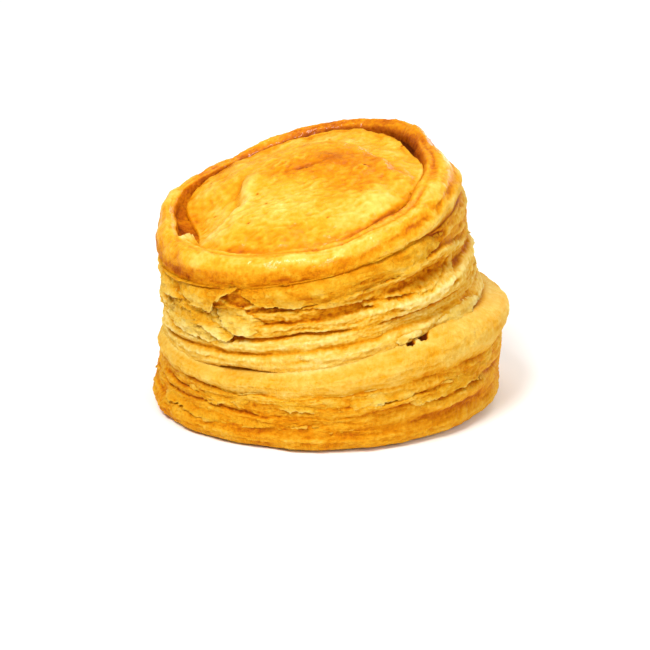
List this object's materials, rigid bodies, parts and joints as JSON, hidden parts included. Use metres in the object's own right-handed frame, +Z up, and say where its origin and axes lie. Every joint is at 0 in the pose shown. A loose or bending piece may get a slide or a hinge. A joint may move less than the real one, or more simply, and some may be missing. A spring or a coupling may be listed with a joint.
{
  "type": "chicken puff",
  "caption": "Tall round savoury puff pastry: a flaky base disc with a swollen rolled edge, a leaning flaky case with a browned rim, and a domed glazed lid.",
  "frame": {"origin": "middle of the flat underside of the base disc", "axes": "+Z up, -Y towards the front that the picture shows, +X to the right, the side where the rim is highest"},
  "size_m": [0.0877, 0.0868, 0.0628],
  "materials": {
    "base_crust": "baked flaky crust, matt golden, deeper orange towards the underside",
    "case_crust": "baked flaky leaves, matt pale gold, glazed orange brown on the rim",
    "lid_crust": "egg-washed golden crust with a soft gloss and orange mottling"
  },
  "bodies": {
    "root": {"base_disc": "base_crust", "upper_case": "case_crust", "lid": "lid_crust"}
  },
  "joints": []
}
